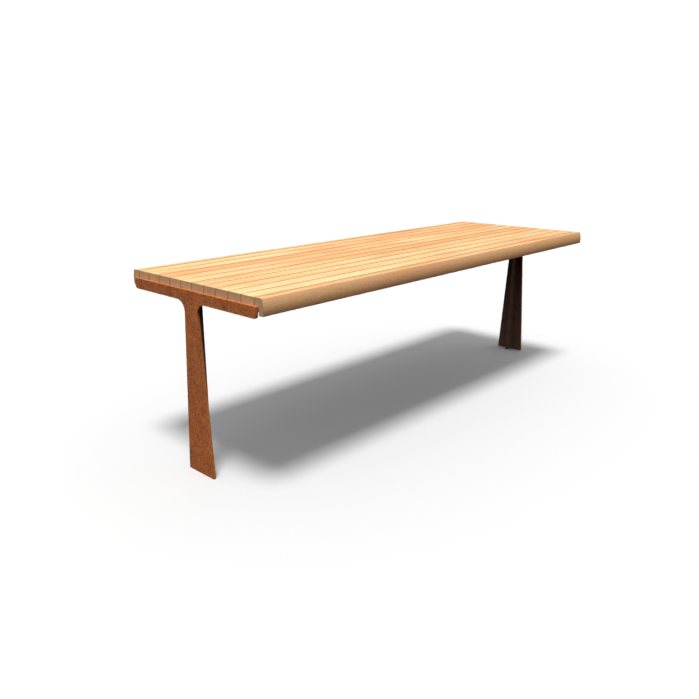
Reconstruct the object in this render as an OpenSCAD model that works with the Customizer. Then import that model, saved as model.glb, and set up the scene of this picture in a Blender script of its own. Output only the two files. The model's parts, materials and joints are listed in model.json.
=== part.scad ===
// Backless street bench: a slatted timber seat on two T-shaped weathering steel legs.
// X runs along the seat, -Y is the front and Z is up.
// The origin is on the ground, under the middle of the seat.

/* [Overall] */
// Length over the outer faces of the leg plates
overall_len = 1400; // [1100:10:2000]
// Height of the seat's top face above the ground
seat_h = 455; // [350:5:760]

/* [Slats] */
// Number of flat slats between the two edge slats
slat_count = 10; // [6:2:14]
// Width of a flat slat
slat_w = 39.5; // [30:0.5:60]
// Thickness of a flat slat
slat_t = 25; // [18:0.5:35]
// Open gap between neighbouring slats
slat_gap = 3; // [2:0.5:8]
// Radius of a slat's eased long edges
slat_ease = 1.5; // [0.5:0.5:3]
// Clearance between a slat's end and the leg plate
slat_end_gap = 0.5; // [0.3:0.1:3]
// Flat top width of an edge slat
edge_w = 20.5; // [18:0.5:60]
// Depth of an edge slat's outer face
edge_depth = 36.7; // [30:0.1:50]
// How far the bowed outer face of an edge slat stands out beyond its top edge
edge_bow = 5; // [2:0.5:10]
// Radius of the bowed outer face
edge_bow_r = 54; // [50:1:120]

/* [Legs] */
// Thickness of the leg plates
plate_t = 6; // [4:0.5:12]
// Step from the seat's top face down to the top of a leg plate
plate_drop = 17.5; // [5:0.5:24]
// Height of a leg plate's arm
arm_h = 25.5; // [20:0.5:60]
// How far an arm runs on under the edge slat
arm_cover = 11; // [10.5:0.5:18]
// Corner radius at the lower end of an arm
arm_corner_r = 8; // [2:0.5:10]
// Lean of an arm's end, inwards towards the ground, in degrees
arm_end_lean = 5; // [0:0.5:20]
// Width of the post where it leaves the arm, before the fillets
neck_w = 43.8; // [30:0.2:80]
// Width of the post at the ground
foot_w = 95.5; // [60:0.5:200]
// Fillet radius between arm and post
fillet_r = 30; // [5:1:60]
// Thickness of the rib behind the post
rib_t = 6; // [4:0.5:12]
// Depth of the rib behind the leg plate
rib_depth = 23.5; // [15:0.5:50]

/* [Subframe] */
// Width of the end bearers, along the bench
bearer_w = 35; // [25:1:60]
// Thickness of the end bearers and the cross ties
bearer_t = 4; // [3:0.5:8]
// Number of cross ties between the end bearers
tie_count = 3; // [1:1:4]
// Width of a cross tie, along the bench
tie_w = 35; // [20:1:60]
// How far bearers and ties reach under the edge slats
tie_cover = 9; // [9:0.5:12]
// Width of a rail tube
rail_w = 25; // [15:1:30]
// Height of a rail tube
rail_h = 15; // [12:1:30]
// Wall of a rail tube
rail_wall = 1.5; // [1:0.5:3]
// Slat pitches from the middle of the seat to a rail
rail_pitches = 3; // [2:1:3]
// Gap between a rail's end and the leg plate
rail_end_gap = 1; // [0.5:0.5:5]
// Length of a lug that joins a rail to a leg
lug_len = 84; // [70:1:150]
// Thickness of a lug
lug_t = 3; // [2:0.5:5]
// Height of a lug
lug_h = 14; // [12:0.5:25]

/* [Fasteners] */
// Distance from the leg plate's inner face to the first rail bolt
bolt_inset = 46; // [44:1:60]
// Distance between the two rail bolts of a lug
bolt_pitch = 24; // [16:1:60]
// Diameter of the rail bolts
bolt_d = 6; // [5:1:8]
// Diametral clearance of the bolt holes
bolt_clear = 0.5; // [0.3:0.1:1.5]
// Head diameter of the slat screws
screw_head_d = 8; // [7:0.5:9]
// Head height of the slat screws
screw_head_h = 2.6; // [2:0.1:4]
// Shank diameter of the slat screws
screw_d = 4; // [3:0.5:5]
// Depth of a slat screw in the timber
screw_bite = 16; // [10:1:17]
// Diametral clearance of a screw in its hole
screw_clear = 0.3; // [0.2:0.1:1]

/* [Welds] */
// Leg length of the fillet welds on the legs
weld_leg = 4; // [2:0.5:5]
// Leg length of the fillet welds on the cross ties
tie_weld_leg = 2; // [1:0.5:3]

/* [Hidden] */
pitch = slat_w + slat_gap;
edge_inner = slat_count * pitch / 2 + slat_gap / 2;
edge_top = edge_inner + edge_w;
inner_x = overall_len / 2 - plate_t;
slat_len = 2 * (inner_x - slat_end_gap);

bearer_top = seat_h - slat_t;
rail_top = bearer_top - bearer_t;
rail_y = rail_pitches * pitch + lug_t / 2;
tie_half = edge_inner + tie_cover;
rebate_gap = 1.5;
rebate_half = tie_half + rebate_gap;
bearer_x = inner_x - bearer_w / 2;
tie_xs = [for (i = [1 : tie_count]) bearer_x * (2 * i / (tie_count + 1) - 1)];

arm_top = seat_h - plate_drop;
arm_bottom = arm_top - arm_h;
arm_half = edge_inner + arm_cover;
post_lean = atan((foot_w - neck_w) / 2 / arm_bottom);
foot_corner_r = 2;

screw_ys = concat(
    [for (i = [0 : slat_count - 1]) (i - (slat_count - 1) / 2) * pitch],
    [-edge_inner - tie_cover / 2, edge_inner + tie_cover / 2]
);
screw_len = bearer_t + screw_bite;
point_len = 5;
point_room = 1;
head_ease = 1;
drive_d = 3;
drive_depth = 1.4;

bolt_z = rail_top - rail_h / 2;
bolt_xs = [inner_x - bolt_inset, inner_x - bolt_inset - bolt_pitch];
washer_d = 12;
washer_t = 1.2;
head_across = 10;
head_h = 4;
nut_h = 5;
thread_out = 1.5;
bolt_grip = rail_w + lug_t + 2 * washer_t;

weld_end = 2;
overcut = 1;
arc_steps = 12;
ease_steps = 3;

timber = "goldenrod";
corten = "sienna";
zinc = "lightgray";
bead = "saddlebrown";

// Points of an arc about c from angle a0 to a1.
function arc(c, r, a0, a1, steps) =
    [for (i = [0 : steps]) c + r * [cos(a0 + (a1 - a0) * i / steps), sin(a0 + (a1 - a0) * i / steps)]];

// Extrudes a (Y, Z) outline along X, from x0 to x1.
module along_x(x0, x1) {
    translate([x0, 0, 0]) rotate([90, 0, 90]) linear_extrude(x1 - x0) children();
}

// Places a part of the right-hand end at both ends: side 1 is right, side -1 is left.
module at_end(side) {
    mirror([side < 0 ? 1 : 0, 0, 0]) children();
}

// A w by h rectangle about the origin, with its corners rounded to r.
module rounded_rect(w, h, r) {
    a = w / 2 - r;
    b = h / 2 - r;
    polygon(concat(
        arc([a, b], r, 0, 90, ease_steps),
        arc([-a, b], r, 90, 180, ease_steps),
        arc([-a, -b], r, 180, 270, ease_steps),
        arc([a, -b], r, 270, 360, ease_steps)
    ));
}

// Outline of the rear edge slat: a bowed outer face, and a rebate that sits on the bearers.
module edge_outline() {
    bow_z = seat_h - sqrt(edge_bow * (2 * edge_bow_r - edge_bow));
    bow_centre = [edge_top + edge_bow - edge_bow_r, bow_z];
    top_angle = acos(1 - edge_bow / edge_bow_r);
    lip = seat_h - edge_depth;
    lip_angle = asin((lip - bow_z) / edge_bow_r);
    polygon(concat(
        [[edge_inner, bearer_top], [rebate_half, bearer_top], [rebate_half, lip]],
        arc(bow_centre, edge_bow_r, lip_angle, top_angle, arc_steps),
        arc([edge_inner + slat_ease, seat_h - slat_ease], slat_ease, 90, 180, ease_steps)
    ));
}

// Pilot holes of every screw in the slat that is centred on y.
module pilot_holes(y) {
    for (x = concat([-bearer_x, bearer_x], tie_xs))
        translate([x, y, bearer_top - overcut])
            cylinder(d = screw_d + screw_clear, h = overcut + screw_bite + point_room, $fn = 24);
}

module seat_slat(i) {
    y = screw_ys[i - 1];
    color(timber) difference() {
        along_x(-slat_len / 2, slat_len / 2)
            translate([y, bearer_top + slat_t / 2]) rounded_rect(slat_w, slat_t, slat_ease);
        pilot_holes(y);
    }
}

module edge_slat(side) {
    color(timber) mirror([0, side < 0 ? 1 : 0, 0]) difference() {
        along_x(-slat_len / 2, slat_len / 2) edge_outline();
        pilot_holes(edge_inner + tie_cover / 2);
    }
}

// Half of the leg plate's outline, on the +Y side: foot, leaning post edge, fillet and arm.
function leg_half() =
    let (
        lean_fillet = fillet_r / cos(post_lean),
        fillet_z = arm_bottom - fillet_r,
        post_at_fillet = foot_w / 2 - fillet_z * tan(post_lean),
        fillet_c = [post_at_fillet + lean_fillet, fillet_z],
        corner_z = arm_bottom + arm_corner_r,
        corner_y = arm_half - (arm_top - corner_z) * tan(arm_end_lean) - arm_corner_r / cos(arm_end_lean),
        foot_c = [foot_w / 2 - foot_corner_r * tan(45 + post_lean / 2), foot_corner_r]
    )
    concat(
        arc(foot_c, foot_corner_r, -90, post_lean, ease_steps),
        arc(fillet_c, fillet_r, 180 + post_lean, 90, arc_steps),
        arc([corner_y, corner_z], arm_corner_r, -90, -arm_end_lean, arc_steps),
        [[arm_half, arm_top]]
    );

module leg_plate(side) {
    right = leg_half();
    left = [for (i = [len(right) - 1 : -1 : 0]) [-right[i][0], right[i][1]]];
    color(corten) at_end(side) along_x(inner_x, inner_x + plate_t) polygon(concat(right, left));
}

module leg_rib(side) {
    color(corten) at_end(side)
        translate([inner_x - rib_depth, -rib_t / 2, 0])
            cube([rib_depth, rib_t, rail_top]);
}

// A flat bar across the seat, under the slats, with a clearance hole for each slat screw.
module cross_bar(x, w) {
    difference() {
        translate([x - w / 2, -tie_half, rail_top]) cube([w, 2 * tie_half, bearer_t]);
        for (y = screw_ys)
            translate([x, y, rail_top - overcut])
                cylinder(d = screw_d + screw_clear, h = bearer_t + 2 * overcut, $fn = 24);
    }
}

module end_bearer(side) {
    color(corten) at_end(side) cross_bar(bearer_x, bearer_w);
}

// Lugs on the inner side of each rail, standing on the leg plate under the bearer.
module rail_lugs(side) {
    lug_y = rail_y - rail_w / 2 - lug_t;
    color(corten) at_end(side)
        for (m = [0, 1]) mirror([0, m, 0])
            difference() {
                translate([inner_x - lug_len, lug_y, rail_top - lug_h]) cube([lug_len, lug_t, lug_h]);
                bolt_holes();
            }
}

// Through holes for the bolts of one lug and its rail.
module bolt_holes() {
    for (x = bolt_xs)
        translate([x, rail_y - rail_w, bolt_z]) rotate([-90, 0, 0])
            cylinder(d = bolt_d + bolt_clear, h = 2 * rail_w, $fn = 24);
}

// A fillet weld along Z in the corner of the +X and +Y faces.
module weld_bead(leg, length) {
    linear_extrude(length) polygon([[0, 0], [leg, 0], [0, leg]]);
}

// Rib welds up both sides of the rib, and stitches where the bearer and lugs meet the plate.
module leg_welds(side) {
    lug_y = rail_y - rail_w / 2 - lug_t;
    color(bead) at_end(side) {
        for (m = [0, 1]) mirror([0, m, 0]) {
            translate([inner_x, rib_t / 2, weld_end]) rotate([0, 0, 90])
                weld_bead(weld_leg, rail_top - weld_leg - 2 * weld_end);
            translate([inner_x, rib_t / 2 + weld_leg, rail_top]) rotate([-90, 90, 0])
                weld_bead(weld_leg, lug_y - rib_t / 2 - 2 * weld_leg);
            translate([inner_x, rail_y + rail_w / 2 + weld_end, rail_top]) rotate([-90, 90, 0])
                weld_bead(weld_leg, tie_half - rail_y - rail_w / 2 - 2 * weld_end);
        }
    }
}

module rail(side) {
    x1 = inner_x - rail_end_gap;
    color(corten) mirror([0, side < 0 ? 1 : 0, 0]) difference() {
        along_x(-x1, x1) translate([rail_y, rail_top - rail_h / 2]) difference() {
            rounded_rect(rail_w, rail_h, 2 * rail_wall);
            rounded_rect(rail_w - 2 * rail_wall, rail_h - 2 * rail_wall, rail_wall);
        }
        for (end = [-1, 1]) at_end(end) bolt_holes();
    }
}

module cross_tie(i) {
    color(corten) cross_bar(tie_xs[i - 1], tie_w);
}

// Short welds on top of each rail, along both edges of each cross tie.
module tie_welds() {
    color(bead) for (x = tie_xs, n = [0, 1], m = [0, 1])
        translate([x, 0, 0]) mirror([n, 0, 0]) mirror([0, m, 0])
            translate([tie_w / 2, rail_y + rail_w / 2 - weld_end, rail_top]) rotate([90, 0, 0])
                weld_bead(tie_weld_leg, rail_w - 2 * weld_end);
}

// Places a fastener of the rear right lug at all eight rail bolts, with Z along the bolt.
// Z = 0 is the outer side face of the rail and +Z points outwards.
module at_rail_bolts() {
    for (end = [-1, 1], m = [0, 1], x = bolt_xs)
        at_end(end) mirror([0, m, 0])
            translate([x, rail_y + rail_w / 2, bolt_z]) rotate([-90, 0, 0]) children();
}

module rail_bolts() {
    shank = bolt_grip - washer_t + nut_h + thread_out;
    color(zinc) at_rail_bolts() union() {
        translate([0, 0, washer_t]) cylinder(d = head_across / cos(30), h = head_h, $fn = 6);
        translate([0, 0, -shank]) cylinder(d = bolt_d, h = shank + washer_t, $fn = 32);
    }
}

module rail_bolt_washers() {
    color(zinc) at_rail_bolts() for (z = [0, -rail_w - lug_t - washer_t])
        translate([0, 0, z]) difference() {
            cylinder(d = washer_d, h = washer_t, $fn = 32);
            translate([0, 0, -overcut])
                cylinder(d = bolt_d + bolt_clear, h = washer_t + 2 * overcut, $fn = 32);
        }
}

module rail_bolt_nuts() {
    color(zinc) at_rail_bolts() translate([0, 0, -bolt_grip + washer_t - nut_h]) difference() {
        cylinder(d = head_across / cos(30), h = nut_h, $fn = 6);
        translate([0, 0, -overcut]) cylinder(d = bolt_d, h = nut_h + 2 * overcut, $fn = 32);
    }
}

// A pan head wood screw that points up, with the underside of its head at Z = 0.
module slat_screw() {
    difference() {
        rotate_extrude($fn = 32) polygon([
            [0, -screw_head_h], [screw_head_d / 2 - head_ease, -screw_head_h],
            [screw_head_d / 2, -screw_head_h + head_ease],
            [screw_head_d / 2, 0], [screw_d / 2, 0], [screw_d / 2, screw_len - point_len], [0, screw_len]
        ]);
        translate([0, 0, -screw_head_h - overcut]) cylinder(d = drive_d, h = drive_depth + overcut, $fn = 6);
    }
}

// One row of slat screws across the seat, driven up through a bearer or tie.
module screw_row(x) {
    color(zinc) for (y = screw_ys) translate([x, y, rail_top]) slat_screw();
}

edge_slat(-1);  // edge_slat_front
edge_slat(1);  // edge_slat_rear
for (i = [1 : slat_count])
    seat_slat(i);
leg_plate(-1);  // leg_plate_left
leg_plate(1);  // leg_plate_right
leg_rib(-1);  // leg_rib_left
leg_rib(1);  // leg_rib_right
end_bearer(-1);  // end_bearer_left
end_bearer(1);  // end_bearer_right
rail_lugs(-1);  // rail_lugs_left
rail_lugs(1);  // rail_lugs_right
leg_welds(-1);  // leg_welds_left
leg_welds(1);  // leg_welds_right
rail(-1);  // rail_front
rail(1);  // rail_rear
for (i = [1 : tie_count])
    cross_tie(i);
tie_welds();
rail_bolts();
rail_bolt_washers();
rail_bolt_nuts();
screw_row(-bearer_x);  // slat_screws_left_bearer
screw_row(bearer_x);  // slat_screws_right_bearer
for (i = [1 : tie_count])
    screw_row(tie_xs[i - 1]);
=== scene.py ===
"""A backless street bench: a slatted timber seat on two T-shaped weathering steel legs."""
import json
import math
import random

import bmesh
import bpy
from mathutils import Matrix, Vector


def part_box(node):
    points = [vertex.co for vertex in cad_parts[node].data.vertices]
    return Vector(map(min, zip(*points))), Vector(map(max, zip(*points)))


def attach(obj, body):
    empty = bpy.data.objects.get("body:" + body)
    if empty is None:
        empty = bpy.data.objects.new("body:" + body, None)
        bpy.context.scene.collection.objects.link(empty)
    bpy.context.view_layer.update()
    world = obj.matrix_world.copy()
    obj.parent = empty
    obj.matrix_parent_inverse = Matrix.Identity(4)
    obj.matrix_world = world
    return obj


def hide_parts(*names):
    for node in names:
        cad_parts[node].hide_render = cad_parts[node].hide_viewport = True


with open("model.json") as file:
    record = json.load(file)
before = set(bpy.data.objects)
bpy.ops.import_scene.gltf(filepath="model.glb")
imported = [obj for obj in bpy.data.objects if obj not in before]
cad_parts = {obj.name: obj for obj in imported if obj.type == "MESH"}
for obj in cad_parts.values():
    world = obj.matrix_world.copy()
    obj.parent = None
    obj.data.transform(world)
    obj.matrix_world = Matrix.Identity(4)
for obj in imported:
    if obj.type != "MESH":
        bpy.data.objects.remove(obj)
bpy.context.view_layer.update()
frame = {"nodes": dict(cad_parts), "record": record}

MM = 0.001
rng = random.Random(4817)

# Seat
SLAT_EASE = 1.5 * MM
END_EASE = 0.6 * MM
EDGE_BOW = 5.0 * MM
EDGE_BOW_R = 54.0 * MM
BOW_STEPS = 36
REBATE_GAP = 1.5 * MM
EDGE_SLAT_TONE = 0.45

# Legs
FILLET_R = 30.0 * MM
ARM_CORNER_R = 8.0 * MM
ARM_END_LEAN = math.radians(5.0)
FOOT_CORNER_R = 2.0 * MM
ARM_H = 25.5 * MM
NECK_W = 43.8 * MM
FOOT_W = 95.5 * MM
CUT_EASE = 0.4 * MM

# Subframe and fasteners
TUBE_WALL = 1.5 * MM
BAR_EASE = 0.4 * MM
WELD_ROUND = 0.9 * MM
FASTENER_EASE = 0.35 * MM

# Light, in degrees: the sun's width, its lean from overhead and the side that it comes from
SUN_ANGLE = 15.5
SUN_TILT = 17.0
SUN_FROM = -137.6
SUN_ENERGY = 3.35
SKY_STRENGTH = 0.66
SKY_FULL_AT = 0.35

# Stage and camera, in metres and degrees
FLOOR_R = 24.0
BACKDROP_R = 20.0
BACKDROP_GLOW = 1.05
EYE_PLACE = (-1.5335, -1.2500, 0.7495)
EYE_TILT = 73.069
EYE_TURN = -47.061
LENS = 35.39
SENSOR_WIDTH = 36.0


# ---------------------------------------------------------------- materials

class Nodes:
    """Adds nodes to one material's tree and links them by the names of their sockets."""

    def __init__(self, name):
        self.material = bpy.data.materials.new(name)
        self.material.use_nodes = True
        self.tree = self.material.node_tree
        self.surface = self.tree.nodes["Principled BSDF"]

    def put(self, socket, value):
        if isinstance(value, bpy.types.NodeSocket):
            self.tree.links.new(value, socket)
        else:
            socket.default_value = value

    def add(self, kind, inputs=None, **settings):
        made = self.tree.nodes.new(kind)
        for key, value in settings.items():
            setattr(made, key, value)
        for key, value in (inputs or {}).items():
            self.put(made.inputs[key], value)
        return made

    def maths(self, operation, a, b=0.0, clamp=False):
        return self.add("ShaderNodeMath", {0: a, 1: b}, operation=operation, use_clamp=clamp).outputs[0]

    def vector(self, operation, a, b=(0.0, 0.0, 0.0)):
        made = self.add("ShaderNodeVectorMath", {0: a, 1: b}, operation=operation)
        return made.outputs["Value" if operation == "LENGTH" else "Vector"]

    def attribute(self, name):
        return self.add("ShaderNodeAttribute", attribute_name=name).outputs["Vector"]

    def split(self, vector):
        return self.add("ShaderNodeSeparateXYZ", {0: vector}).outputs

    def join(self, x, y, z):
        return self.add("ShaderNodeCombineXYZ", {0: x, 1: y, 2: z}).outputs[0]

    def noise(self, vector, scale, detail=3.0, roughness=0.55):
        inputs = {"Vector": vector, "Scale": scale, "Detail": detail, "Roughness": roughness}
        return self.add("ShaderNodeTexNoise", inputs).outputs["Fac"]

    def fit(self, value, low, high, to_low=0.0, to_high=1.0):
        inputs = {"Value": value, "From Min": low, "From Max": high, "To Min": to_low, "To Max": to_high}
        return self.add("ShaderNodeMapRange", inputs).outputs[0]

    def blend(self, factor, a, b, mode="MIX"):
        made = self.add("ShaderNodeMix", data_type="RGBA", blend_type=mode)
        self.put(made.inputs[0], factor)
        self.put(made.inputs[6], a)
        self.put(made.inputs[7], b)
        return made.outputs[2]

    def bump(self, height, distance, strength=1.0):
        inputs = {"Height": height, "Distance": distance, "Strength": strength}
        self.put(self.surface.inputs["Normal"], self.add("ShaderNodeBump", inputs).outputs[0])


def rgb(r, g, b):
    return (r, g, b, 1.0)


def timber():
    """Oiled softwood: growth rings about a pith below the board, long fibres and duller end grain.

    Boards get warmer in tone towards +X. Faces that look along Y are grittier, and get a redder tint than
    the tops and a darkening low down, both painted shade. The long sides beside the gaps are darkened as
    painted shade in the gaps.
    """
    n = Nodes("timber")
    board = n.attribute("in_board")
    seed = n.attribute("board_seed")
    seeds = n.split(seed)
    edge = n.split(n.attribute("board_edge"))
    shifted = n.vector("ADD", board, n.vector("MULTIPLY", seed, (9.0, 5.0, 7.0)))

    slow = n.vector("MULTIPLY", shifted, (1.6, 9.0, 9.0))
    sway = n.maths("SUBTRACT", n.noise(slow, 1.0, 2.0), 0.5)
    place = n.split(board)
    across = n.maths("ADD", place[1], n.maths("MULTIPLY", n.maths("SUBTRACT", seeds[0], 0.5), 0.11))
    across = n.maths("ADD", across, n.maths("MULTIPLY", sway, 0.016))
    above = n.maths("ADD", place[2], n.fit(seeds[1], 0.0, 1.0, 0.028, 0.075))
    above = n.maths("ADD", above, n.maths("MULTIPLY", sway, 0.010))
    radius = n.vector("LENGTH", n.join(0.0, across, above))
    ring = n.maths("FRACT", n.maths("MULTIPLY", radius, 260.0))
    late = n.maths("MULTIPLY", n.fit(ring, 0.25, 0.86), n.fit(ring, 1.0, 0.90))

    streak = n.noise(n.vector("MULTIPLY", shifted, (2.4, 70.0, 70.0)), 1.0, 3.0, 0.62)
    patch = n.noise(n.vector("MULTIPLY", shifted, (3.6, 12.0, 12.0)), 1.0, 3.0, 0.55)
    fleck = n.noise(n.vector("MULTIPLY", shifted, (38.0, 520.0, 520.0)), 1.0, 3.0, 0.65)
    fibre = n.noise(n.vector("MULTIPLY", shifted, (14.0, 1700.0, 1700.0)), 1.0, 2.0, 0.6)

    warm = n.maths("MULTIPLY", n.fit(streak, 0.36, 0.64), 0.62)
    warm = n.maths("ADD", warm, n.maths("MULTIPLY", late, 0.20))
    warm = n.maths("ADD", warm, n.fit(seeds[2], 0.0, 1.0, -0.14, 0.36))
    warm = n.maths("ADD", warm, n.fit(patch, 0.34, 0.66, -0.28, 0.32))
    warm = n.maths("ADD", warm, n.fit(place[0], -0.69, -0.25, -0.19, 0.10))
    warm = n.maths("ADD", warm, n.fit(place[0], -0.25, 0.69, 0.0, 0.18), clamp=True)
    colour = n.blend(warm, rgb(0.735, 0.545, 0.262), rgb(0.640, 0.285, 0.098))
    facing = n.split(n.add("ShaderNodeNewGeometry").outputs["Normal"])
    side = n.fit(n.maths("ABSOLUTE", facing[1]), 0.45, 0.85)
    # Painted shade: faces that look along Y get a redder tint than the tops of the same boards.
    colour = n.blend(n.maths("MULTIPLY", side, 0.68), colour, rgb(0.800, 0.408, 0.190))
    grit = n.noise(n.vector("MULTIPLY", shifted, (130.0, 320.0, 320.0)), 1.0, 3.0, 0.7)
    gritty = n.maths("MULTIPLY", side, n.fit(grit, 0.40, 0.66, 0.0, 0.42))
    colour = n.blend(gritty, colour, rgb(0.500, 0.255, 0.120))
    # Painted shade: faces that look along Y darken towards the bottom of the board.
    low_shade = n.fit(place[2], 0.0, -0.018, 0.0, 0.45)
    colour = n.blend(n.maths("MULTIPLY", side, low_shade), colour, rgb(0.620, 0.285, 0.125))
    dark_fleck = n.fit(fleck, 0.50, 0.78, 0.0, 0.40)
    colour = n.blend(dark_fleck, colour, rgb(0.430, 0.220, 0.095))
    colour = n.blend(n.fit(fibre, 0.35, 0.75, 0.0, 0.16), colour, rgb(0.800, 0.590, 0.350))
    # Painted shade in the gaps: the long sides beside a gap darken, deepest right at the gap, weaker near
    # the board ends and towards -X.
    inside = n.fit(n.maths("ABSOLUTE", place[0]), 0.660, 0.690, 1.0, 0.08)
    gap_edge_shade = n.maths("MULTIPLY", n.fit(edge[0], 0.0, 0.70, 0.0, 1.0), n.maths("MAXIMUM", inside, 0.5))
    gap_edge_shade = n.maths("MULTIPLY", gap_edge_shade, n.fit(place[0], -0.69, 0.30, 0.80, 1.0))
    colour = n.blend(gap_edge_shade, colour, rgb(0.390, 0.165, 0.058))
    deep_gap_shade = n.maths("MULTIPLY", n.fit(edge[0], 0.85, 1.0), inside)
    colour = n.blend(deep_gap_shade, colour, rgb(0.100, 0.044, 0.020))

    end = n.fit(n.maths("ABSOLUTE", facing[0]), 0.55, 0.9)
    pores = n.noise(n.vector("MULTIPLY", shifted, (1500.0, 1500.0, 1500.0)), 1.0, 2.0)
    upright = n.noise(n.vector("MULTIPLY", shifted, (90.0, 420.0, 30.0)), 1.0, 3.0, 0.6)
    cut = n.blend(n.maths("MULTIPLY", late, 0.30), rgb(0.780, 0.480, 0.250), rgb(0.500, 0.290, 0.145))
    cut = n.blend(n.fit(upright, 0.42, 0.64, 0.0, 0.60), cut, rgb(0.540, 0.320, 0.165))
    cut = n.blend(n.fit(pores, 0.45, 0.70, 0.0, 0.25), cut, rgb(0.430, 0.255, 0.130))
    cut = n.blend(n.fit(seeds[0], 0.0, 1.0, 0.0, 0.45), cut, rgb(0.500, 0.300, 0.160))
    n.put(n.surface.inputs["Base Color"], n.blend(end, colour, cut))

    rough = n.fit(late, 0.0, 1.0, 0.62, 0.50)
    n.put(n.surface.inputs["Roughness"], n.blend(end, rough, rgb(0.85, 0.85, 0.85)))
    n.surface.inputs["Specular IOR Level"].default_value = 0.30
    relief = n.maths("ADD", n.maths("MULTIPLY", late, 0.5), n.maths("MULTIPLY", fibre, 0.5))
    n.bump(relief, 0.12 * MM, 0.6)
    return n.material


def rusted_steel(name, cut_edge=False):
    """Weathering steel: fine mottled rust in red-brown, ochre and orange, with faint runs down the face and
    painted shade near the top, under the seat.
    """
    n = Nodes(name)
    place = n.add("ShaderNodeTexCoord").outputs["Object"]
    patch = n.noise(place, 42.0, 5.0, 0.62)
    mottle = n.noise(n.vector("ADD", place, (3.1, 1.7, 0.4)), 170.0, 4.0, 0.66)
    speck = n.noise(n.vector("ADD", place, (0.7, 4.2, 2.6)), 520.0, 3.0, 0.6)
    ochre = n.noise(n.vector("ADD", place, (6.4, 0.3, 5.2)), 130.0, 4.0, 0.62)
    runs = n.noise(n.vector("MULTIPLY", place, (70.0, 70.0, 6.0)), 1.0, 3.0, 0.55)

    tone = n.maths("ADD", n.fit(patch, 0.39, 0.61, 0.0, 0.36), n.fit(mottle, 0.40, 0.60, 0.0, 0.64))
    # Painted shade: the rust darkens near the top of the legs, under the seat.
    tone = n.maths("ADD", tone, n.fit(n.split(place)[2], 0.36, 0.42, 0.0, -0.08))
    tone = n.maths("ADD", tone, n.fit(runs, 0.3, 0.7, -0.14, 0.14), clamp=True)
    colour = n.blend(tone, rgb(0.300, 0.084, 0.034), rgb(0.770, 0.228, 0.060))
    colour = n.blend(n.fit(ochre, 0.48, 0.62, 0.0, 0.55), colour, rgb(0.500, 0.185, 0.048))
    colour = n.blend(n.fit(speck, 0.50, 0.74, 0.0, 0.70), colour, rgb(0.150, 0.042, 0.024))
    height = n.maths("ADD", n.maths("MULTIPLY", mottle, 0.5), n.maths("MULTIPLY", speck, 0.5))
    if cut_edge:
        lines = n.noise(n.vector("MULTIPLY", place, (30.0, 950.0, 950.0)), 1.0, 2.0, 0.6)
        colour = n.blend(n.fit(lines, 0.35, 0.7, 0.1, 0.6), colour, rgb(0.580, 0.190, 0.036))
        height = n.maths("ADD", height, lines)
    n.put(n.surface.inputs["Base Color"], colour)
    n.put(n.surface.inputs["Roughness"], n.fit(mottle, 0.3, 0.7, 0.78, 0.94))
    n.surface.inputs["Specular IOR Level"].default_value = 0.25
    n.bump(height, 0.10 * MM, 0.8)
    return n.material


def shade_darkened_steel():
    """Weathering steel for faces under the seat and inside the legs: dull grey-brown scale, darkened as
    painted shade, with thin blooms of rust.
    """
    n = Nodes("shade_darkened_steel")
    place = n.add("ShaderNodeTexCoord").outputs["Object"]
    patch = n.noise(place, 30.0, 5.0, 0.62)
    mottle = n.noise(n.vector("ADD", place, (1.1, 3.7, 2.4)), 150.0, 4.0, 0.64)
    bloom = n.noise(n.vector("ADD", place, (5.3, 0.9, 1.8)), 24.0, 5.0, 0.66)
    speck = n.noise(n.vector("ADD", place, (2.7, 1.2, 4.6)), 600.0, 3.0, 0.6)
    tone = n.maths("ADD", n.fit(patch, 0.36, 0.64, 0.0, 0.5), n.fit(mottle, 0.36, 0.64, 0.0, 0.5))
    colour = n.blend(tone, rgb(0.120, 0.074, 0.052), rgb(0.235, 0.130, 0.082))
    colour = n.blend(n.fit(bloom, 0.48, 0.66, 0.0, 0.45), colour, rgb(0.300, 0.098, 0.036))
    colour = n.blend(n.fit(speck, 0.52, 0.76, 0.0, 0.5), colour, rgb(0.070, 0.050, 0.042))
    n.put(n.surface.inputs["Base Color"], colour)
    n.put(n.surface.inputs["Roughness"], n.fit(mottle, 0.3, 0.7, 0.62, 0.86))
    n.surface.inputs["Specular IOR Level"].default_value = 0.30
    n.bump(n.maths("ADD", mottle, speck), 0.06 * MM, 0.7)
    return n.material


def weld_metal():
    """Rusted weld bead: darker and greyer than the plate, with patches of dark scale."""
    n = Nodes("weld_metal")
    place = n.add("ShaderNodeTexCoord").outputs["Object"]
    mottle = n.noise(place, 260.0, 4.0, 0.6)
    scale = n.noise(n.vector("ADD", place, (2.0, 5.0, 1.0)), 110.0, 3.0, 0.6)
    colour = n.blend(n.fit(mottle, 0.3, 0.7), rgb(0.11, 0.052, 0.034), rgb(0.21, 0.100, 0.060))
    colour = n.blend(n.fit(scale, 0.5, 0.75, 0.0, 0.5), colour, rgb(0.12, 0.085, 0.075))
    n.put(n.surface.inputs["Base Color"], colour)
    n.put(n.surface.inputs["Roughness"], n.fit(scale, 0.4, 0.7, 0.85, 0.6))
    n.bump(mottle, 0.08 * MM, 0.7)
    return n.material


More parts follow.
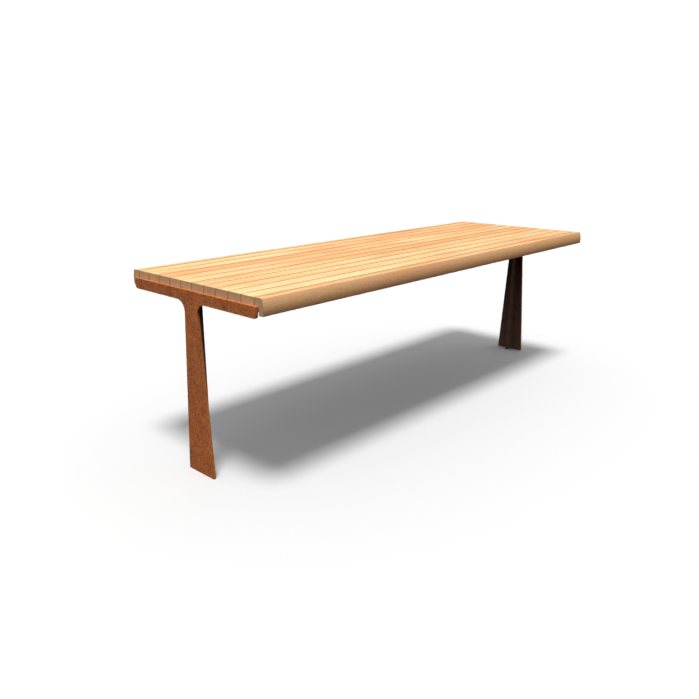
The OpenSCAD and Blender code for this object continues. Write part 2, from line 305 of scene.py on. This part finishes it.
def stainless():
    """Stainless fasteners: fine turned grain, dulled by handling and a little rust dust."""
    n = Nodes("stainless_fastener")
    place = n.add("ShaderNodeTexCoord").outputs["Object"]
    grain = n.noise(n.vector("MULTIPLY", place, (900.0, 900.0, 2600.0)), 1.0, 2.0)
    dust = n.noise(place, 240.0, 4.0, 0.6)
    colour = n.blend(n.fit(grain, 0.3, 0.7), rgb(0.52, 0.52, 0.50), rgb(0.68, 0.67, 0.65))
    rusty = n.fit(dust, 0.56, 0.72, 0.0, 0.7)
    n.put(n.surface.inputs["Base Color"], n.blend(rusty, colour, rgb(0.33, 0.16, 0.08)))
    n.put(n.surface.inputs["Metallic"], n.fit(rusty, 0.0, 0.7, 1.0, 0.25))
    n.put(n.surface.inputs["Roughness"], n.fit(dust, 0.3, 0.7, 0.28, 0.62))
    n.bump(grain, 0.02 * MM, 0.5)
    return n.material


# ---------------------------------------------------------------- mesh helpers

def finish_piece(name, bm, materials, node, smooth=35.0):
    """Turns bm into the object that stands for a CAD node, body and materials."""
    mesh = bpy.data.meshes.new(name)
    bm.normal_update()
    bm.to_mesh(mesh)
    bm.free()
    mesh.shade_smooth()
    mesh.set_sharp_from_angle(angle=math.radians(smooth))
    for material in materials:
        mesh.materials.append(material)
    piece = bpy.data.objects.new(name, mesh)
    bpy.context.scene.collection.objects.link(piece)
    weighted = piece.modifiers.new("face_weighted_normals", "WEIGHTED_NORMAL")
    weighted.keep_sharp = True
    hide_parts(node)
    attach(piece, "root")
    return piece


def add_block(bm, low, high):
    """Adds a box between two corners and returns its vertices."""
    middle, size = (low + high) / 2, high - low
    place = Matrix.Translation(middle) @ Matrix.Diagonal((*size, 1.0))
    return bmesh.ops.create_cube(bm, size=1.0, matrix=place)["verts"]


def round_edges(bm, edges, radius, segments=2):
    return bmesh.ops.bevel(
        bm, geom=edges, offset=radius, offset_type="OFFSET", segments=segments,
        affect="EDGES", profile=0.5, material=-1, clamp_overlap=True,
    )["faces"]


def edges_along(bm, axis):
    """Edges of bm that run along one axis."""
    def runs(edge):
        way = (edge.verts[1].co - edge.verts[0].co).normalized()
        return abs(way[axis]) > 0.999
    return [e for e in bm.edges if runs(e)]


def sharp_edges(bm, degrees=40.0):
    return [e for e in bm.edges if len(e.link_faces) == 2 and e.calc_face_angle() > math.radians(degrees)]


def extrude_outline(bm, x0, x1):
    """Fills the closed loop of edges that bm holds at x0 and extrudes it along X to x1."""
    face = bmesh.ops.contextual_create(bm, geom=bm.edges[:])["faces"][0]
    grown = bmesh.ops.extrude_face_region(bm, geom=[face])["geom"]
    verts = [v for v in grown if isinstance(v, bmesh.types.BMVert)]
    bmesh.ops.translate(bm, verts=verts, vec=(x1 - x0, 0.0, 0.0))
    bmesh.ops.recalc_face_normals(bm, faces=bm.faces)


def outline(bm, x, points):
    """A closed loop of edges through (Y, Z) points at one X."""
    verts = [bm.verts.new((x, y, z)) for y, z in points]
    for a, b in zip(verts, verts[1:] + verts[:1]):
        bm.edges.new((a, b))


# ---------------------------------------------------------------- seat

def mark_board(bm, middle, sides, tone):
    """Stores what the timber shader needs: the place in the board, a random vector for it, and its nearness
    to a side that faces a gap, which the shader uses for painted shade in the gaps.

    sides holds the Y of each long side that faces a gap. tone is 0 for pale boards, 1 for warm ones.
    """
    in_board = bm.verts.layers.float_vector.new("in_board")
    board_seed = bm.verts.layers.float_vector.new("board_seed")
    board_edge = bm.verts.layers.float_vector.new("board_edge")
    seed = Vector((rng.random(), rng.random(), tone))
    for v in bm.verts:
        v[in_board] = v.co - middle
        v[board_seed] = seed
        inset = min(abs(v.co.y - side) for side in sides)
        v[board_edge] = Vector((max(0.0, 1.0 - inset / SLAT_EASE), 0.0, 0.0))


def seat_slat(node, material):
    low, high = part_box(node)
    bm = bmesh.new()
    add_block(bm, low, high)
    round_edges(bm, edges_along(bm, 0), SLAT_EASE, 4)
    round_edges(bm, sharp_edges(bm, 60.0), END_EASE, 2)
    mark_board(bm, (low + high) / 2, (low.y, high.y), rng.random())
    return finish_piece(node + "_timber", bm, [material], node)


def edge_slat(node, material):
    """An edge slat: bowed outer face, flat top and a rebate that sits over the ends of the bearers."""
    low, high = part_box(node)
    rear = high.y > 0
    side = 1.0 if rear else -1.0
    inner = min(abs(low.y), abs(high.y))
    top_edge = max(abs(low.y), abs(high.y)) - EDGE_BOW
    slat_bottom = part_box("seat_slat_1")[0].z
    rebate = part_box("end_bearer_left")[1].y + REBATE_GAP

    bow_y = top_edge + EDGE_BOW - EDGE_BOW_R
    bow_z = high.z - math.sqrt(EDGE_BOW * (2 * EDGE_BOW_R - EDGE_BOW))
    top_angle = math.acos(1 - EDGE_BOW / EDGE_BOW_R)
    lip_angle = math.asin((low.z - bow_z) / EDGE_BOW_R)
    lip_y = bow_y + EDGE_BOW_R * math.cos(lip_angle)
    turn = side * (top_angle - lip_angle)

    bm = bmesh.new()
    foot = bm.verts.new((low.x, side * lip_y, low.z))
    centre = (low.x, side * bow_y, bow_z)
    bmesh.ops.spin(bm, geom=[foot], cent=centre, axis=(1.0, 0.0, 0.0), angle=turn, steps=BOW_STEPS)
    bm.verts.ensure_lookup_table()
    chain = sorted(bm.verts, key=lambda v: v.co.z)
    corners = [(inner, high.z), (inner, slat_bottom), (rebate, slat_bottom), (rebate, low.z)]
    loop = [chain[-1]] + [bm.verts.new((low.x, side * y, z)) for y, z in corners] + [chain[0]]
    for a, b in zip(loop, loop[1:]):
        bm.edges.new((a, b))
    extrude_outline(bm, low.x, high.x)
    long_corners = [e for e in sharp_edges(bm, 50.0) if abs(e.verts[0].co.x - e.verts[1].co.x) > 0.5]
    round_edges(bm, long_corners, SLAT_EASE, 4)
    round_edges(bm, sharp_edges(bm, 60.0), END_EASE, 2)
    mark_board(bm, (low + high) / 2, (side * inner,), EDGE_SLAT_TONE)
    return finish_piece(node + "_timber", bm, [material], node, 30.0)


# ---------------------------------------------------------------- legs

def corner_edges(bm, y, z):
    """Edges along X at a height z and a distance y to either side of the middle."""
    def here(edge):
        at = edge.verts[0].co
        return abs(abs(at.y) - y) < MM / 10 and abs(at.z - z) < MM / 10
    return [e for e in edges_along(bm, 0) if here(e)]


def leg_plate(node, outer, edge, inner):
    """A T-shaped plate: arm, filleted neck and a post that widens towards the ground."""
    low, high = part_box(node)
    arm_bottom = high.z - ARM_H
    arm_inset = ARM_H * math.tan(ARM_END_LEAN)
    arm_half = high.y
    right = [
        (FOOT_W / 2, 0.0), (NECK_W / 2, arm_bottom), (arm_half - arm_inset, arm_bottom), (arm_half, high.z),
    ]
    left = [(-y, z) for y, z in reversed(right)]
    bm = bmesh.new()
    outline(bm, low.x, right + left)
    extrude_outline(bm, low.x, high.x)

    lean = math.atan((FOOT_W - NECK_W) / 2 / arm_bottom)
    turn = math.pi / 2 - lean
    round_edges(bm, corner_edges(bm, NECK_W / 2, arm_bottom), FILLET_R * math.tan(turn / 2), 20)
    turn = math.pi / 2 - ARM_END_LEAN
    arm_corners = corner_edges(bm, arm_half - arm_inset, arm_bottom)
    round_edges(bm, arm_corners, ARM_CORNER_R * math.tan(turn / 2), 10)
    round_edges(bm, corner_edges(bm, FOOT_W / 2, 0.0), FOOT_CORNER_R, 4)

    # Inward faces get the darker steel: painted shade on the sides under the seat.
    outward = 1.0 if high.x > 0 else -1.0
    for f in bm.faces:
        facing = f.normal.x * outward
        f.material_index = 0 if facing > 0.9 else 2 if facing < -0.9 else 1
    for f in round_edges(bm, sharp_edges(bm, 60.0), CUT_EASE, 2):
        f.material_index = 1
    return finish_piece(node + "_steel", bm, [outer, edge, inner], node)


def steel_bar(node, material):
    """A flat bar with softened edges: a rib, bearer or cross tie."""
    bm = bmesh.new()
    add_block(bm, *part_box(node))
    round_edges(bm, bm.edges[:], BAR_EASE, 2)
    return finish_piece(node + "_steel", bm, [material], node)


def mirrored_pairs(node):
    """Boxes of a node's two solids, one on each side of Y = 0, worked out from its CAD mesh."""
    points = [v.co.copy() for v in frame["nodes"][node].data.vertices]
    boxes = []
    for side in (-1, 1):
        mine = [p for p in points if p.y * side > 0]
        low = Vector([min(p[i] for p in mine) for i in range(3)])
        high = Vector([max(p[i] for p in mine) for i in range(3)])
        boxes.append((low, high))
    return boxes


def rail_lugs(node, material):
    bm = bmesh.new()
    for low, high in mirrored_pairs(node):
        add_block(bm, low, high)
    round_edges(bm, bm.edges[:], BAR_EASE, 2)
    return finish_piece(node + "_steel", bm, [material], node)


def rail(node, material):
    """A rectangular steel tube with rounded corners and open ends."""
    low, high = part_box(node)
    bm = bmesh.new()
    add_block(bm, low, high)
    round_edges(bm, edges_along(bm, 0), 2 * TUBE_WALL, 4)
    ends = [f for f in bm.faces if abs(f.normal.x) > 0.9]
    bmesh.ops.delete(bm, geom=ends, context="FACES_ONLY")
    bmesh.ops.solidify(bm, geom=bm.faces[:], thickness=TUBE_WALL)
    return finish_piece(node + "_steel", bm, [material], node)


def soften(piece, width):
    """Rounds the edges of a CAD mesh with modifiers, and gives its flat faces even shading."""
    join = piece.modifiers.new("join_corners", "WELD")
    join.merge_threshold = MM / 1000
    ease = piece.modifiers.new("round_edges", "BEVEL")
    ease.width = width
    ease.segments = 3
    ease.limit_method = "ANGLE"
    ease.angle_limit = math.radians(40.0)
    piece.modifiers.new("face_weighted_normals", "WEIGHTED_NORMAL").keep_sharp = True


# ---------------------------------------------------------------- stage

def stage():
    """Pale floor and white backdrop, which the camera sees and which throw no light on the bench."""
    bm = bmesh.new()
    bmesh.ops.create_circle(bm, cap_ends=True, segments=64, radius=FLOOR_R)
    n = Nodes("floor_paint")
    place = n.add("ShaderNodeTexCoord").outputs["Object"]
    paper = n.fit(n.noise(place, 180.0, 3.0), 0.0, 1.0, -0.01, 0.01)
    # Painted shade: the floor is a little darker near the bench and lighter further out.
    away = n.fit(n.vector("LENGTH", place), 0.9, 3.0)
    grey = n.maths("ADD", paper, n.fit(away, 0.0, 1.0, 0.623, 0.677))
    n.put(n.surface.inputs["Base Color"], n.join(grey, grey, grey))
    n.surface.inputs["Roughness"].default_value = 1.0
    n.surface.inputs["Specular IOR Level"].default_value = 0.0
    floor = stage_piece("floor", bm, n.material)

    bm = bmesh.new()
    bmesh.ops.create_icosphere(bm, subdivisions=4, radius=BACKDROP_R)
    n = Nodes("backdrop_paint")
    n.surface.inputs["Base Color"].default_value = rgb(0.0, 0.0, 0.0)
    n.surface.inputs["Specular IOR Level"].default_value = 0.0
    n.surface.inputs["Emission Color"].default_value = rgb(1.0, 1.0, 1.0)
    n.surface.inputs["Emission Strength"].default_value = BACKDROP_GLOW
    backdrop = stage_piece("backdrop", bm, n.material)
    for piece in (floor, backdrop):
        piece.visible_diffuse = False
        piece.visible_glossy = False
        piece.visible_transmission = False
    backdrop.visible_shadow = False


def stage_piece(name, bm, material):
    mesh = bpy.data.meshes.new(name)
    bm.to_mesh(mesh)
    bm.free()
    mesh.materials.append(material)
    piece = bpy.data.objects.new(name, mesh)
    bpy.context.scene.collection.objects.link(piece)
    return piece


def lights():
    """A soft sun nearly overhead, and a sky that fades out towards the horizon."""
    sun = bpy.data.lights.new("overhead_softbox", "SUN")
    sun.energy = SUN_ENERGY
    sun.angle = math.radians(SUN_ANGLE)
    lamp = bpy.data.objects.new("overhead_softbox", sun)
    side = Matrix.Rotation(math.radians(SUN_FROM - 90.0), 4, "Z")
    tilt = Matrix.Rotation(math.radians(-SUN_TILT), 4, "X")
    lamp.matrix_world = side @ tilt
    bpy.context.scene.collection.objects.link(lamp)

    world = bpy.data.worlds.new("studio")
    world.use_nodes = True
    tree = world.node_tree
    place = tree.nodes.new("ShaderNodeTexCoord")
    split = tree.nodes.new("ShaderNodeSeparateXYZ")
    above = tree.nodes.new("ShaderNodeMapRange")
    tree.links.new(place.outputs["Generated"], split.inputs[0])
    tree.links.new(split.outputs[2], above.inputs["Value"])
    above.inputs["From Min"].default_value = 0.0
    above.inputs["From Max"].default_value = SKY_FULL_AT
    above.inputs["To Max"].default_value = SKY_STRENGTH
    tree.links.new(above.outputs[0], tree.nodes["Background"].inputs["Strength"])
    tree.nodes["Background"].inputs["Color"].default_value = rgb(1.0, 1.0, 1.0)
    bpy.context.scene.world = world


def camera():
    lens = bpy.data.cameras.new("camera")
    lens.lens = LENS
    lens.sensor_width = SENSOR_WIDTH
    lens.clip_end = 100.0
    eye = bpy.data.objects.new("camera", lens)
    eye.location = EYE_PLACE
    eye.rotation_euler = (math.radians(EYE_TILT), 0.0, math.radians(EYE_TURN))
    bpy.context.scene.collection.objects.link(eye)
    bpy.context.scene.camera = eye


# ---------------------------------------------------------------- the bench

camera()
bpy.context.scene.view_settings.view_transform = "Standard"
lights()
stage()

wood = timber()
rust = rusted_steel("weathering_steel")
cut_rust = rusted_steel("weathering_steel_cut_edge", cut_edge=True)
steel_in_shade = shade_darkened_steel()
bead = weld_metal()
bright = stainless()

slats = sorted((n for n in frame["nodes"] if n.startswith("seat_slat_")), key=lambda n: int(n[10:]))
for node in slats:
    seat_slat(node, wood)
for node in ("edge_slat_front", "edge_slat_rear"):
    edge_slat(node, wood)
# Inner leg faces, ribs, bearers, lugs, rails and ties take the darker steel as painted shade under the
# seat.
for end in ("left", "right"):
    leg_plate("leg_plate_" + end, rust, cut_rust, steel_in_shade)
    steel_bar("leg_rib_" + end, steel_in_shade)
    steel_bar("end_bearer_" + end, steel_in_shade)
    rail_lugs("rail_lugs_" + end, steel_in_shade)
for node in ("rail_front", "rail_rear"):
    rail(node, steel_in_shade)
for node in sorted(n for n in frame["nodes"] if n.startswith("cross_tie_")):
    steel_bar(node, steel_in_shade)

# Welds and fasteners stay the CAD meshes, with a material and rounded edges
kept = {"weld_metal": (bead, WELD_ROUND), "stainless_fastener": (bright, FASTENER_EASE)}
for subpart in frame["record"]["subparts"]:
    if subpart["material_slot"] in kept:
        material, width = kept[subpart["material_slot"]]
        piece = frame["nodes"][subpart["node"]]
        piece.data.materials.clear()
        piece.data.materials.append(material)
        soften(piece, width)
